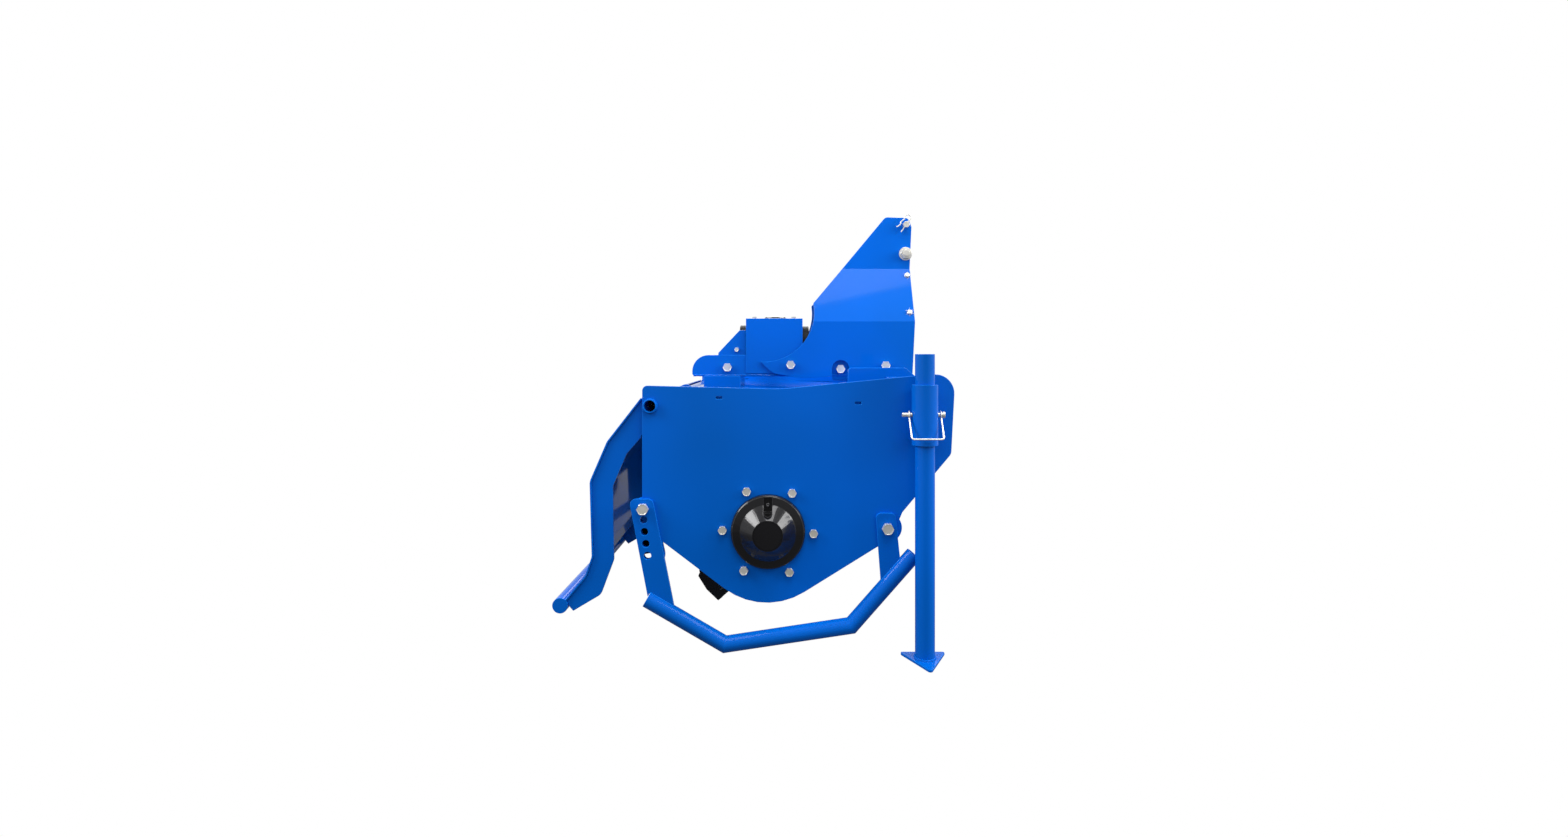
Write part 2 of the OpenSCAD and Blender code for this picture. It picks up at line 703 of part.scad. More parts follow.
module gear_case_cover() color(blue) {
  difference() {
    slab(half + case_depth, case_cover_t) union() {
      case_outline(case_wall);
      for (p = case_bolt_spots) translate(p) circle(12);
    }
    for (p = case_bolt_spots) bar(p.x, p.y, 4.5, half + case_depth - 1, 20);
  }
  for (z = [cross_z, rotor_z]) {
    ring(0, z, boss_r, race_r, half + case_depth - 12, 12);
    bar(0, z, boss_r, half + case_depth + case_cover_t, 6);
  }
}

module case_bolts() color(zinc) for (p = case_bolt_spots)
  screw(p.x, p.y, 8, half + case_depth + case_cover_t, 30);

module case_bearings() color(steel) {
  for (z = [cross_z, rotor_z]) ring(0, z, race_r, shaft_r + run_gap, half + case_depth - 12, 10);
  ring(0, cross_z, race_r, shaft_r + run_gap, half + case_wall, 10);
}

// ---------- rotor ----------

flanges_y = [-flange_y, -flange_y / 2, 0, flange_y / 2, flange_y];

module rotor_tube() color(black)
  ring(0, rotor_z, rotor_tube_d / 2, rotor_tube_d / 2 - rotor_wall, -flange_y - 16, 2 * flange_y + 32);

module rotor_journals() color(steel) for (s = [-1, 1]) on_side(s) {
  plug = rotor_tube_d / 2 - rotor_wall;
  bar(0, rotor_z, plug, flange_y - 6, 20);
  reach = s > 0 ? half + case_depth - 2 : half + 30;
  bar(0, rotor_z, shaft_r, flange_y + 14, reach - flange_y - 14);
}

// Turn of a flange's first tine, and which side each tine bends to
function tine_turn(k) = 237 + 25 * k;
function tine_bend(k, i) = k == 0 ? 1 : k == 4 ? -1 : i % 2 == 0 ? 1 : -1;
function tines_on(k) = (k == 0 || k == 4) ? [0, 2, 4] : [0, 1, 2, 3, 4, 5];

module tine_flanges() color(black) for (k = [0:4]) slab(flanges_y[k] - flange_t / 2, flange_t)
  translate([0, rotor_z]) difference() {
    circle(flange_r);
    circle(rotor_tube_d / 2);
    for (i = tines_on(k), a = tine_bolt_turns) rotate(tine_turn(k) + 60 * i + a)
      translate([tine_bolt_r, 0]) circle(6.2);
  }

tine_bolt_r = flange_r - 21;
tine_bolt_turns = [-52, -28];

function polar(r, a) = r * [cos(a), sin(a)];

// Flat side of a tine, tip at angle 0, swept back from its shank
module tine_side() difference() {
  polygon(outline([
    concat(polar(tine_bolt_r - 17, -58), 8), concat(polar(tine_bolt_r + 16, -62), 8),
    concat(polar(tine_r - 50, -42), 40), concat(polar(tine_r - 14, -20), 60), polar(tine_r, 0),
    polar(tine_r - 12, 1), concat(polar(tine_r - 46, -12), 40), concat(polar(tine_r - 90, -24), 30),
    concat(polar(tine_bolt_r + 12, -18), 8), concat(polar(tine_bolt_r - 17, -20), 8)
  ]));
  for (a = tine_bolt_turns) translate(polar(tine_bolt_r, a)) circle(6.2);
}

// Bent foot of the tine, seen along the rotor
module tine_foot_side() polygon([
  polar(tine_r - 11, -20), polar(tine_r - 4, -10), polar(tine_r, 0), polar(tine_r - 36, 3),
  polar(tine_r - 42, 0), polar(tine_r - 10, -5), polar(tine_r - 13, -10), polar(tine_r - 20, -20)
]);

module tine(s) {
  y = s > 0 ? flange_t / 2 : -flange_t / 2 - tine_t;
  slab(y, tine_t) tine_side();
  slab(s > 0 ? y : y + tine_t - tine_foot, tine_foot) tine_foot_side();
}

module tines() color(black) for (k = [0:4], i = tines_on(k))
  translate([0, flanges_y[k], rotor_z]) rotate([0, -tine_turn(k) - 60 * i, 0]) tine(tine_bend(k, i));

module tine_bolts() color(zinc) for (k = [0:4], i = tines_on(k), a = tine_bolt_turns)
  translate([0, flanges_y[k], rotor_z]) rotate([0, -tine_turn(k) - 60 * i - a, 0])
    translate([tine_bolt_r, 0, 0]) on_side(tine_bend(k, i)) {
      bar(0, 0, 6, -flange_t / 2, flange_t + tine_t);
      translate([0, flange_t / 2 + tine_t, 0]) rotate([-90, 0, 0]) cylinder(r = 10.4, h = 7.5, $fn = 6);
      translate([0, -flange_t / 2 - 10, 0]) rotate([-90, 0, 0]) cylinder(r = 10.4, h = 10, $fn = 6);
    }

// ---------- hubs ----------

module hub_flange(spigot) {
  bar(0, rotor_z, hub_flange_r, inner - hub_flange_t, hub_flange_t);
  bar(0, rotor_z, spigot, inner - 1, side_t + 1);
}

module hub_bore_and_bolts(depth) {
  bar(0, rotor_z, bearing_r, inner - hub_flange_t - 1, depth + 1);
  for (a = hub_angles) bar(hub_pcd_r * cos(a), rotor_z + hub_pcd_r * sin(a), hub_bolt_m / 2 + hole_gap,
    inner - hub_flange_t - 1, hub_flange_t + 2);
}

// Cone profile of the right-hand hub: [radius, distance outside the plate]
hub_profile = [
  [0, 0], [hub_spigot_r, 0], [hub_spigot_r, 8], [hub_spigot_r - 3, 12], [66, 15], [63.5, 17],
  [37, hub_out - 2], [35, hub_out], [0, hub_out]
];

// Slot that the grease nipple stands in, from the cap to the hub's rim
nipple_slot_r = 48;
nipple_slot_w = 20;
nipple_floor = 6;
nipple_r = 64;

module right_hub() color(black) on_side(-1) difference() {
  union() {
    hub_flange(hub_spigot_r);
    translate([0, half, rotor_z]) rotate([-90, 0, 0]) rotate_extrude($fn = 96) polygon(hub_profile);
  }
  hub_bore_and_bolts(37);
  bar(0, rotor_z, shaft_r + 3, half, 32);
  bar(0, rotor_z, 34 + slip, half + hub_out - 5, 6);
  bar(0, rotor_z + nipple_slot_r, nipple_slot_w / 2, half + 20, 40);
  translate([-nipple_slot_w / 2, half + nipple_floor, rotor_z + nipple_slot_r])
    cube([nipple_slot_w, 40, hub_spigot_r - nipple_slot_r - 5]);
}

module left_hub() color(black) difference() {
  union() {
    hub_flange(left_spigot_r);
    bar(0, rotor_z, left_spigot_r, half - 1, case_wall + 1);
  }
  hub_bore_and_bolts(37);
}

module hub_cap() color(black) on_side(-1) {
  bar(0, rotor_z, 34, half + hub_out - 5, 4);
  translate([0, half + nipple_floor, rotor_z + nipple_r]) rotate([-90, 0, 0]) {
    cylinder(r = 5.5, h = 6, $fn = 6);
    cylinder(r = 3.2, h = 15);
    translate([0, 0, 15]) sphere(r = 3.2, $fn = 24);
  }
}

module hub_bearings() color(steel) for (s = [-1, 1]) on_side(s) {
  ring(0, rotor_z, bearing_r, shaft_r + run_gap, inner - hub_flange_t + 8, 26);
  ring(0, rotor_z, bearing_r, shaft_r + run_gap, inner - hub_flange_t, 6);
}

module hub_bolts() color(zinc) {
  for (a = hub_angles) on_side(-1)
    bolt(hub_pcd_r * cos(a), rotor_z + hub_pcd_r * sin(a), hub_bolt_m, half, side_t + hub_flange_t);
}

// ---------- skids ----------

// Round bar along a path, mitred at its corners, and longer by more at each end
module mitred_rod(p, r, more) {
  n = len(p);
  big = 6 * r;
  for (i = [0:n - 2]) {
    u = unit(p[i + 1] - p[i]);
    start = i == 0 ? more : 2 * r;
    end = i == n - 2 ? more : 2 * r;
    difference() {
      translate(p[i] - u * start) rotate([0, 0, atan2(u.y, u.x)]) rotate([0, 90, 0])
        cylinder(r = r, h = norm(p[i + 1] - p[i]) + start + end);
      if (i > 0) mitre(p[i], u + unit(p[i] - p[i - 1])) translate([-big, -big / 2, -big / 2]) cube(big);
      if (i < n - 2) mitre(p[i + 1], u + unit(p[i + 2] - p[i + 1])) translate([0, -big / 2, -big / 2]) cube(big);
    }
  }
}
module mitre(at, m) translate(at) rotate([0, 0, atan2(m.y, m.x)]) children();

module skid() {
  translate([0, half + skid_t / 2, 0]) rotate([90, 0, 0]) difference() {
    union() {
      mitred_rod(runner_path, runner_r, 0);
      translate([0, 0, -skid_t / 2]) linear_extrude(skid_t) {
        polygon(outline([[-326, 361, 14], [-270, 361, 14], [-215, 86], [-280, 124]]));
        polygon(outline([[252, 328, 12], [298, 328, 12], [312, 197], [266, 145]]));
      }
    }
    mitred_rod(runner_path, runner_r - runner_wall, 1);
    for (p = concat(skid_rear, [skid_front])) translate([p.x, p.y, -20]) cylinder(r = skid_hole_r, h = 40);
  }
}
module right_skid() color(blue) on_side(-1) skid();
module left_skid() color(blue) skid();

module skid_bolts() color(zinc) for (s = [-1, 1]) on_side(s)
  for (p = [skid_front, skid_rear[0]]) bolt(p.x, p.y, bolt_m, half + skid_t, skid_t + side_t);

// ---------- parking stands ----------

module lock_hole() rotate([0, 90, 0]) cylinder(d = lock_d + 2 * slip, h = 200, center = true);

module stand_sleeves() color(blue) for (s = [-1, 1]) on_side(s) difference() {
  union() {
    translate([stand_x, stand_y, sleeve_low]) cylinder(r = sleeve_r, h = sleeve_high - sleeve_low);
    translate([stand_x - 20, half, sleeve_low + 12]) cube([40, 20, sleeve_high - sleeve_low - 24]);
  }
  translate([stand_x, stand_y, sleeve_low - 1]) cylinder(r = stand_d / 2 + slip, h = 200);
  translate([stand_x, stand_y, lock_z]) lock_hole();
}

module parking_stands() color(blue) for (s = [-1, 1]) on_side(s) translate([stand_x, stand_y, 0]) {
  difference() {
    translate([0, 0, foot_t]) cylinder(d = stand_d, h = stand_high - foot_t);
    translate([0, 0, foot_t]) cylinder(d = stand_d - 6, h = stand_high);
    translate([0, 0, lock_z]) lock_hole();
  }
  linear_extrude(foot_t) polygon(outline([
    [-foot_half_w, -foot_back, 5], [foot_half_w, -foot_back, 5], [0, foot_nose, 6]
  ]));
}

module lock_pins() color(zinc) for (s = [-1, 1]) on_side(s)
  translate([stand_x - bail_x - 16, stand_y, lock_z]) rotate([0, 90, 0]) {
    cylinder(d = lock_d, h = 2 * bail_x + 24);
    translate([0, 0, 2 * bail_x + 20.5]) cylinder(d = lock_d + 5, h = 5);
  }

// Wire bail: two eyes on the pin and a loop that lies in front of the sleeve
module bail() translate([stand_x, stand_y, lock_z]) {
  eye_r = lock_d / 2 + run_gap + wire_r;
  drop_turn = atan2(bail_out, bail_drop);
  reach = norm([bail_out, bail_drop]);
  rotate([drop_turn, 0, 0]) {
    for (x = [-bail_x, bail_x]) translate([x, 0, 0]) {
      rotate([0, 90, 0]) rotate_extrude($fn = 48) translate([eye_r, 0]) circle(wire_r, $fn = 24);
      translate([0, 0, -reach + 6]) cylinder(r = wire_r, h = reach - 6 - eye_r, $fn = 24);
    }
    translate([-bail_x + 6, 0, -reach]) rotate([0, 90, 0]) cylinder(r = wire_r, h = 2 * bail_x - 12, $fn = 24);
    for (s = [0, 180]) rotate([0, 0, s]) translate([-bail_x + 6, 0, -reach + 6]) rotate([90, 0, 0])
      rotate([0, 0, 180]) rotate_extrude(angle = 90, $fn = 48) translate([6, 0]) circle(wire_r, $fn = 24);
  }
}
module right_bail() color(zinc) on_side(-1) bail();
module left_bail() color(zinc) bail();

// ---------- tailgate ----------

gate_outer = [[-302, 596], [-382, 493, 30], [-423, 398, 30], [-418, 220, 20], [-434, 174, 30], [-484, 114]];
gate_inner = [[-463, 90], [-397, 129, 20], [-366, 212, 20], [-369, 386, 30], [-336, 463, 20], [-301, 503]];
rib_t = 6;
ribs_y = [-inner + 9, -rib_t / 2, inner - 9 - rib_t];

module gate_sheet() color(blue) {
  slab(-inner + 4, 2 * inner - 8) polygon(sheet(path(gate_outer), gate_t));
  difference() {
    bar(gate_tube_x, gate_tube_z, gate_tube_d / 2, -inner + 4, 2 * inner - 8);
    bar(gate_tube_x, gate_tube_z, gate_tube_d / 2 - 3, -inner + 7, 2 * inner - 14);
  }
}

module gate_ribs() color(blue) for (y = ribs_y) slab(y, rib_t) difference() {
  union() {
    polygon(concat(beside(path(gate_outer), gate_t), path(gate_inner)));
    link([hinge_x, hinge_z], [-310, 530], hinge_d / 2 + 9, 24);
  }
  polygon(sheet(path(gate_outer), gate_t));
  translate([hinge_x, hinge_z]) circle(hinge_d / 2 + run_gap);
  translate([gate_tube_x, gate_tube_z]) circle(gate_tube_d / 2);
}

// ---------- nodes ----------

place() right_side_plate();
place() left_side_plate();
place() deck();
place() deck_beam();
place() front_beam();
place() hinge_tube();
place() right_saddle();
place() left_saddle();
place() right_mast_plate();
place() left_mast_plate();
place() mast_spacer();
place() pto_shield();
place() top_link_pin();
place() hairpin_clip();
place() mast_bolts();
place() shield_bolts();
place() right_hitch_bracket();
place() left_hitch_bracket();
place() hitch_studs();
place() gearbox_housing();
place() gearbox_cap();
place() gearbox_top_cover();
place() gearbox_guard();
place() rear_gussets();
place() gearbox_bearings();
place() input_seal();
place() input_shaft();
place() bevel_pinion();
place() crown_gear();
place() cross_shaft();
place() axle_tube();
place() gear_case();
place() gear_case_cover();
place() case_bolts();
place() case_bearings();
place() drive_gear();
place() idler_gear();
place() idler_bushing();
place() idler_axle();
place() rotor_gear();
place() rotor_tube();
place() tine_flanges();
place() tines();
place() tine_bolts();
place() rotor_journals();
place() right_hub();
place() left_hub();
place() hub_cap();
place() hub_bearings();
place() hub_bolts();
place() right_skid();
place() left_skid();
place() skid_bolts();
place() stand_sleeves();
place() parking_stands();
place() lock_pins();
place() right_bail();
place() left_bail();
place() gate_sheet();
place() gate_ribs();
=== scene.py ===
import json
import math

import bmesh
import bpy
from mathutils import Matrix, Vector


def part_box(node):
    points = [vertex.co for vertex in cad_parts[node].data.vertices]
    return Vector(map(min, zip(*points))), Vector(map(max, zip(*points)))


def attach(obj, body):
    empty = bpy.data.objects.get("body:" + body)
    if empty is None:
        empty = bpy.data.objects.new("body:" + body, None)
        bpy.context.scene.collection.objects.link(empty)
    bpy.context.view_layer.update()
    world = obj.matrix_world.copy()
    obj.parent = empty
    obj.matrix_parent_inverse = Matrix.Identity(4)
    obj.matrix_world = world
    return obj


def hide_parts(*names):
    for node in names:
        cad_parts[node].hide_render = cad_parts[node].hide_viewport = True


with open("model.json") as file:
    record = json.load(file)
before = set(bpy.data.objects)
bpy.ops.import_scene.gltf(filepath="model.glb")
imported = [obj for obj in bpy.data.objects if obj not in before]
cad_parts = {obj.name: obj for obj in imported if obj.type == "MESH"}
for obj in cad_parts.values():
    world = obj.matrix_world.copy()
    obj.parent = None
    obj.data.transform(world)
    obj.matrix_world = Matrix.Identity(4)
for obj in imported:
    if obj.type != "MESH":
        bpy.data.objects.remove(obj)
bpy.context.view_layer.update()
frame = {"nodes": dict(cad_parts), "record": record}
nodes = frame["nodes"]
record = frame["record"]
bodyOf = {n: b for b, names in record["behaviour"]["bodies"].items() for n in names}
slotOf = {s["node"]: s["material_slot"] for s in record["subparts"]}
joints = {j["name"]: j for j in record["behaviour"]["joints"]}
rotorAxis = Vector(joints["rotor_spin"]["pos_m"])
print("stage: frame loaded")


# Camera and light

viewpoint = {
    "fromPlate": 1.692,      # camera to the near side plate
    "height": 0.700,
    "ahead": 0.0376,         # how far in front of the rotor's axis it stands
    "lens": 16.53,
    "shift": -0.0411,
}


def addCamera():
    data = bpy.data.cameras.new("viewCamera")
    data.lens = viewpoint["lens"]
    data.sensor_width = 36
    data.shift_y = viewpoint["shift"]
    data.clip_start = 0.01
    data.clip_end = 60
    cam = bpy.data.objects.new("viewCamera", data)
    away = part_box("right_side_plate")[0].y - viewpoint["fromPlate"]
    cam.location = (rotorAxis.x + viewpoint["ahead"], away, viewpoint["height"])
    cam.rotation_euler = (math.pi / 2, 0, 0)
    bpy.context.scene.collection.objects.link(cam)
    bpy.context.scene.camera = cam


studio = {
    "above": 0.95,           # light from the upper half, which the glossy paint mirrors
    "below": 0.22,
    "front": 0.45,           # share of it that comes from behind the camera
    "horizon": (-0.30, -0.02),   # heights between which below turns into above
    "behind": (-0.99, -0.75),    # directions between which the front's share fades out
    # name, place, aim, size, watts
    "lamps": [
        ("keyLamp", (0.5, -2.0, 4.3), (0, -0.4, 0.6), 2.2, 96),
        ("leftStrip", (-2.8, -1.1, 2.3), (0, -0.6, 0.3), 1.5, 90),
        ("rightStrip", (2.9, -1.1, 1.9), (0, -0.6, 0.3), 1.5, 75),
        ("backLamp", (0.4, 3.4, 3.0), (0, 0, 0.4), 2.4, 70),
    ],
}


def multiply(tree, a, b):
    node = tree.nodes.new("ShaderNodeMath")
    node.operation = "MULTIPLY"
    tree.links.new(a, node.inputs[0])
    tree.links.new(b, node.inputs[1])
    return node.outputs[0]


def fade(tree, value, span, low, high):
    node = tree.nodes.new("ShaderNodeMapRange")
    node.interpolation_type = "SMOOTHSTEP"
    node.inputs["From Min"].default_value, node.inputs["From Max"].default_value = span
    node.inputs["To Min"].default_value = low
    node.inputs["To Max"].default_value = high
    tree.links.new(value, node.inputs["Value"])
    return node.outputs["Result"]


def addWorld():
    # White where the camera sees it, and soft gradients for all that it lights
    world = bpy.data.worlds.new("studioWorld")
    world.use_nodes = True
    tree = world.node_tree
    seen = tree.nodes["Background"]
    seen.inputs[0].default_value = (1, 1, 1, 1)
    lit = tree.nodes.new("ShaderNodeBackground")
    parts = tree.nodes.new("ShaderNodeSeparateXYZ")
    tree.links.new(tree.nodes.new("ShaderNodeTexCoord").outputs["Generated"], parts.inputs[0])
    height = fade(tree, parts.outputs["Z"], studio["horizon"], studio["below"], studio["above"])
    front = fade(tree, parts.outputs["Y"], studio["behind"], studio["front"], 1.0)
    tree.links.new(multiply(tree, height, front), lit.inputs[1])
    share = tree.nodes.new("ShaderNodeMixShader")
    tree.links.new(tree.nodes.new("ShaderNodeLightPath").outputs["Is Camera Ray"], share.inputs[0])
    tree.links.new(lit.outputs[0], share.inputs[1])
    tree.links.new(seen.outputs[0], share.inputs[2])
    tree.links.new(share.outputs[0], tree.nodes["World Output"].inputs["Surface"])
    bpy.context.scene.world = world


def addStudio():
    scene = bpy.context.scene
    scene.view_settings.view_transform = "Standard"
    addWorld()
    for name, place, aim, size, watts in studio["lamps"]:
        data = bpy.data.lights.new(name, "AREA")
        data.size = size
        data.energy = watts
        lamp = bpy.data.objects.new(name, data)
        lamp.location = place
        lamp.rotation_euler = (Vector(aim) - Vector(place)).to_track_quat("-Z", "Y").to_euler()
        scene.collection.objects.link(lamp)


# Materials

def newMaterial(name):
    mat = bpy.data.materials.new(name)
    mat.use_nodes = True
    tree = mat.node_tree
    shader = tree.nodes["Principled BSDF"]
    coords = tree.nodes.new("ShaderNodeTexCoord").outputs["Object"]
    return mat, tree, shader, coords


def noise(tree, coords, scale, detail=3.0, stretch=None):
    tex = tree.nodes.new("ShaderNodeTexNoise")
    tex.inputs["Scale"].default_value = scale
    tex.inputs["Detail"].default_value = detail
    if stretch:
        mapping = tree.nodes.new("ShaderNodeMapping")
        mapping.inputs["Scale"].default_value = stretch
        tree.links.new(coords, mapping.inputs["Vector"])
        coords = mapping.outputs["Vector"]
    tree.links.new(coords, tex.inputs["Vector"])
    return tex.outputs["Fac"]


def ramp(tree, value, low, high, start=0.3, end=0.7):
    node = tree.nodes.new("ShaderNodeValToRGB")
    node.color_ramp.elements[0].position = start
    node.color_ramp.elements[0].color = low
    node.color_ramp.elements[1].position = end
    node.color_ramp.elements[1].color = high
    tree.links.new(value, node.inputs["Fac"])
    return node.outputs["Color"]


def spread(tree, value, low, high):
    node = tree.nodes.new("ShaderNodeMapRange")
    node.inputs["To Min"].default_value = low
    node.inputs["To Max"].default_value = high
    tree.links.new(value, node.inputs["Value"])
    return node.outputs["Result"]


def blendColour(tree, share, a, b):
    node = tree.nodes.new("ShaderNodeMix")
    node.data_type = "RGBA"
    for socket, value in ((node.inputs[6], a), (node.inputs[7], b)):
        if isinstance(value, tuple):
            socket.default_value = value
        else:
            tree.links.new(value, socket)
    tree.links.new(share, node.inputs["Factor"])
    return node.outputs[2]


def bump(tree, shader, height, strength, distance):
    node = tree.nodes.new("ShaderNodeBump")
    node.inputs["Strength"].default_value = strength
    node.inputs["Distance"].default_value = distance
    tree.links.new(height, node.inputs["Height"])
    tree.links.new(node.outputs["Normal"], shader.inputs["Normal"])


# Each "edge" colour is lighter than its paint and goes on the bevelled edges as a painted edge
# highlight
paint = {
    "blue_paint": {
        "deep": (0.0, 0.098, 0.46, 1), "bright": (0.0, 0.126, 0.66, 1), "edge": (0.01, 0.27, 0.88, 1),
        "rough": (0.34, 0.46), "specular": 0.03, "peel": 0.05,
        "coat": 1.0, "coatIndex": 1.17, "coatRough": 0.05,
    },
    "black_paint": {
        "deep": (0.005, 0.005, 0.006, 1), "bright": (0.010, 0.010, 0.012, 1),
        "edge": (0.05, 0.05, 0.055, 1), "rough": (0.14, 0.22), "specular": 0.25, "peel": 0.06,
        "coat": 0.8, "coatIndex": 1.32, "coatRough": 0.06,
    },
    "satin_black": {
        "deep": (0.005, 0.005, 0.006, 1), "bright": (0.013, 0.013, 0.014, 1),
        "edge": (0.06, 0.06, 0.06, 1), "rough": (0.42, 0.60), "specular": 0.18, "peel": 0.35,
        "coat": 0.0, "coatIndex": 1.2, "coatRough": 0.3,
    },
}
satinNodes = ("gearbox_housing", "gearbox_cap", "rotor_tube", "tine_flanges", "tines")


def paintMaterial(name):
    p = paint[name]
    mat, tree, shader, coords = newMaterial(name)
    broad = noise(tree, coords, 2.2, 2.0)
    tone = ramp(tree, broad, p["deep"], p["bright"])
    # The bevelled edges get the lighter "edge" colour, patchy by noise: a painted edge highlight
    highlightMask = tree.nodes.new("ShaderNodeAttribute")
    highlightMask.attribute_name = "edgeHighlight"
    patchy = spread(tree, noise(tree, coords, 60, 4.0), 0.0, 1.0)
    edgeLit = multiply(tree, highlightMask.outputs["Fac"], patchy)
    tree.links.new(blendColour(tree, edgeLit, tone, p["edge"]), shader.inputs["Base Color"])
    tree.links.new(spread(tree, noise(tree, coords, 9, 5.0), *p["rough"]), shader.inputs["Roughness"])
    shader.inputs["Specular IOR Level"].default_value = p["specular"]
    shader.inputs["Coat Weight"].default_value = p["coat"]
    shader.inputs["Coat IOR"].default_value = p["coatIndex"]
    shader.inputs["Coat Roughness"].default_value = p["coatRough"]
    bump(tree, shader, noise(tree, coords, 340, 2.0), p["peel"], 0.002)
    return mat


metals = {
    "zinc_plate": {
        "low": (0.74, 0.72, 0.64, 1), "high": (0.92, 0.92, 0.90, 1), "rough": (0.26, 0.44),
        "grain": 130, "stretch": (1, 1, 1), "depth": 0.10, "metallic": 0.62,
    },
    "machined_steel": {
        "low": (0.30, 0.30, 0.31, 1), "high": (0.52, 0.52, 0.53, 1), "rough": (0.24, 0.40),
        "grain": 90, "stretch": (1, 8, 1), "depth": 0.14, "metallic": 1.0,
    },
    "bronze": {
        "low": (0.45, 0.27, 0.10, 1), "high": (0.64, 0.42, 0.18, 1), "rough": (0.25, 0.45),
        "grain": 90, "stretch": (1, 9, 1), "depth": 0.12, "metallic": 1.0,
    },
}


def metalMaterial(name):
    m = metals[name]
    mat, tree, shader, coords = newMaterial(name)
    shader.inputs["Metallic"].default_value = m["metallic"]
    tone = ramp(tree, noise(tree, coords, 24, 4.0), m["low"], m["high"])
    tree.links.new(tone, shader.inputs["Base Color"])
    grain = noise(tree, coords, m["grain"], 5.0, m["stretch"])
    tree.links.new(spread(tree, grain, *m["rough"]), shader.inputs["Roughness"])
    bump(tree, shader, noise(tree, coords, 5 * m["grain"], 2.0, m["stretch"]), m["depth"], 0.001)
    return mat


def rubberMaterial():
    mat, tree, shader, coords = newMaterial("seal_rubber")
    speckle = noise(tree, coords, 400, 4.0)
    dark, pale = (0.012, 0.012, 0.012, 1), (0.03, 0.03, 0.03, 1)
    tree.links.new(ramp(tree, speckle, dark, pale), shader.inputs["Base Color"])
    tree.links.new(spread(tree, speckle, 0.6, 0.8), shader.inputs["Roughness"])
    bump(tree, shader, speckle, 0.2, 0.001)
    return mat


def makeMaterials():
    made = {name: paintMaterial(name) for name in paint}
    made.update({name: metalMaterial(name) for name in metals})
    made["seal_rubber"] = rubberMaterial()
    return made


# Mesh helpers

smoothAngle = math.radians(28)
xAxis, yAxis, zAxis = Vector((1, 0, 0)), Vector((0, 1, 0)), Vector((0, 0, 1))
# "broad" is a face's least area as a share of its squared outline, for it to be a sheet's side
edging = {"sharper": math.radians(35), "flat": math.radians(1.5), "broad": 0.004}


def meshObject(bm, name):
    mesh = bpy.data.meshes.new(name)
    bm.to_mesh(mesh)
    bm.free()
    obj = bpy.data.objects.new(name, mesh)
    bpy.context.scene.collection.objects.link(obj)
    return obj


def isBroad(mesh, face):
    # A sheet's large flat side, and not a strip of a round one
    if len(face.vertices) <= 4:
        return False
    rim = sum((mesh.vertices[a].co - mesh.vertices[b].co).length for a, b in face.edge_keys)
    return face.area > edging["broad"] * rim ** 2


def materialOf(node):
    return materials["satin_black" if node in satinNodes else slotOf[node]]


def finishPiece(bm, name, body, slotName, stands=(), even=True):
    obj = meshObject(bm, name)
    obj.data.shade_smooth()
    obj.data.set_sharp_from_angle(angle=smoothAngle)
    for face in obj.data.polygons:
        if isBroad(obj.data, face):
            face.use_smooth = False
    obj.data.materials.append(materialOf(stands[0]) if stands else materials[slotName])
    if even:
        weighted = obj.modifiers.new("evenNormals", "WEIGHTED_NORMAL")
        weighted.keep_sharp = True
    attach(obj, body)
    if stands:
        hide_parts(*stands)


def mergedCopy(node):
    bm = bmesh.new()
    bm.from_mesh(nodes[node].data)
    bmesh.ops.remove_doubles(bm, verts=bm.verts, dist=1e-5)
    return bm


def islandBoxes(bm):
    # Lowest and highest corner of each separate shell
    found = []
    reached = set()
    for start in bm.faces:
        if start in reached:
            continue
        reached.add(start)
        faces = [start]
        for face in faces:
            for edge in face.edges:
                for other in edge.link_faces:
                    if other not in reached:
                        reached.add(other)
                        faces.append(other)
        points = [v.co for f in faces for v in f.verts]
        low = Vector(min(p[k] for p in points) for k in range(3))
        high = Vector(max(p[k] for p in points) for k in range(3))
        found.append((low, high))
    return found


def softenEdges(bm, width):
    bmesh.ops.dissolve_limit(bm, angle_limit=edging["flat"], verts=bm.verts, edges=bm.edges)
    sharp = [e for e in bm.edges
             if len(e.link_faces) == 2 and e.calc_face_angle(0) > edging["sharper"]]
    made = bmesh.ops.bevel(
        bm, geom=sharp, offset=width, offset_type="OFFSET", segments=2, profile=0.5,
        affect="EDGES", clamp_overlap=False, material=-1)
    rounded = set(made["faces"])
    # Marks the bevel's own vertices, where the paint materials lay their painted edge highlight
    highlightLayer = bm.verts.layers.float.new("edgeHighlight")
    for face in rounded:
        for vert in face.verts:
            if all(f in rounded for f in vert.link_faces):
                vert[highlightLayer] = 1.0


def softened(node, width):
    bm = mergedCopy(node)
    softenEdges(bm, width)
    finishPiece(bm, node + "Soft", bodyOf[node], slotOf[node], (node,))


# Swept and turned shapes

def lathe(bm, place, levels, samples):
    rows = []
    for height, radius in levels:
        row = []
        for i in range(samples):
            turn = 2 * math.pi * i / samples
            r = radius(turn) if callable(radius) else radius
            point = Vector((r * math.cos(turn), r * math.sin(turn), height))
            row.append(bm.verts.new(place @ point))
        rows.append(row)
    for low, high in zip(rows, rows[1:]):
        for i in range(samples):
            j = (i + 1) % samples
            bm.faces.new((low[i], low[j], high[j], high[i]))
    bm.faces.new(tuple(reversed(rows[0])))
    bm.faces.new(tuple(rows[-1]))


def hexagon(flatRadius, limit):
    sixth = math.pi / 3
    return lambda turn: min(flatRadius / math.cos(turn % sixth - sixth / 2), limit)


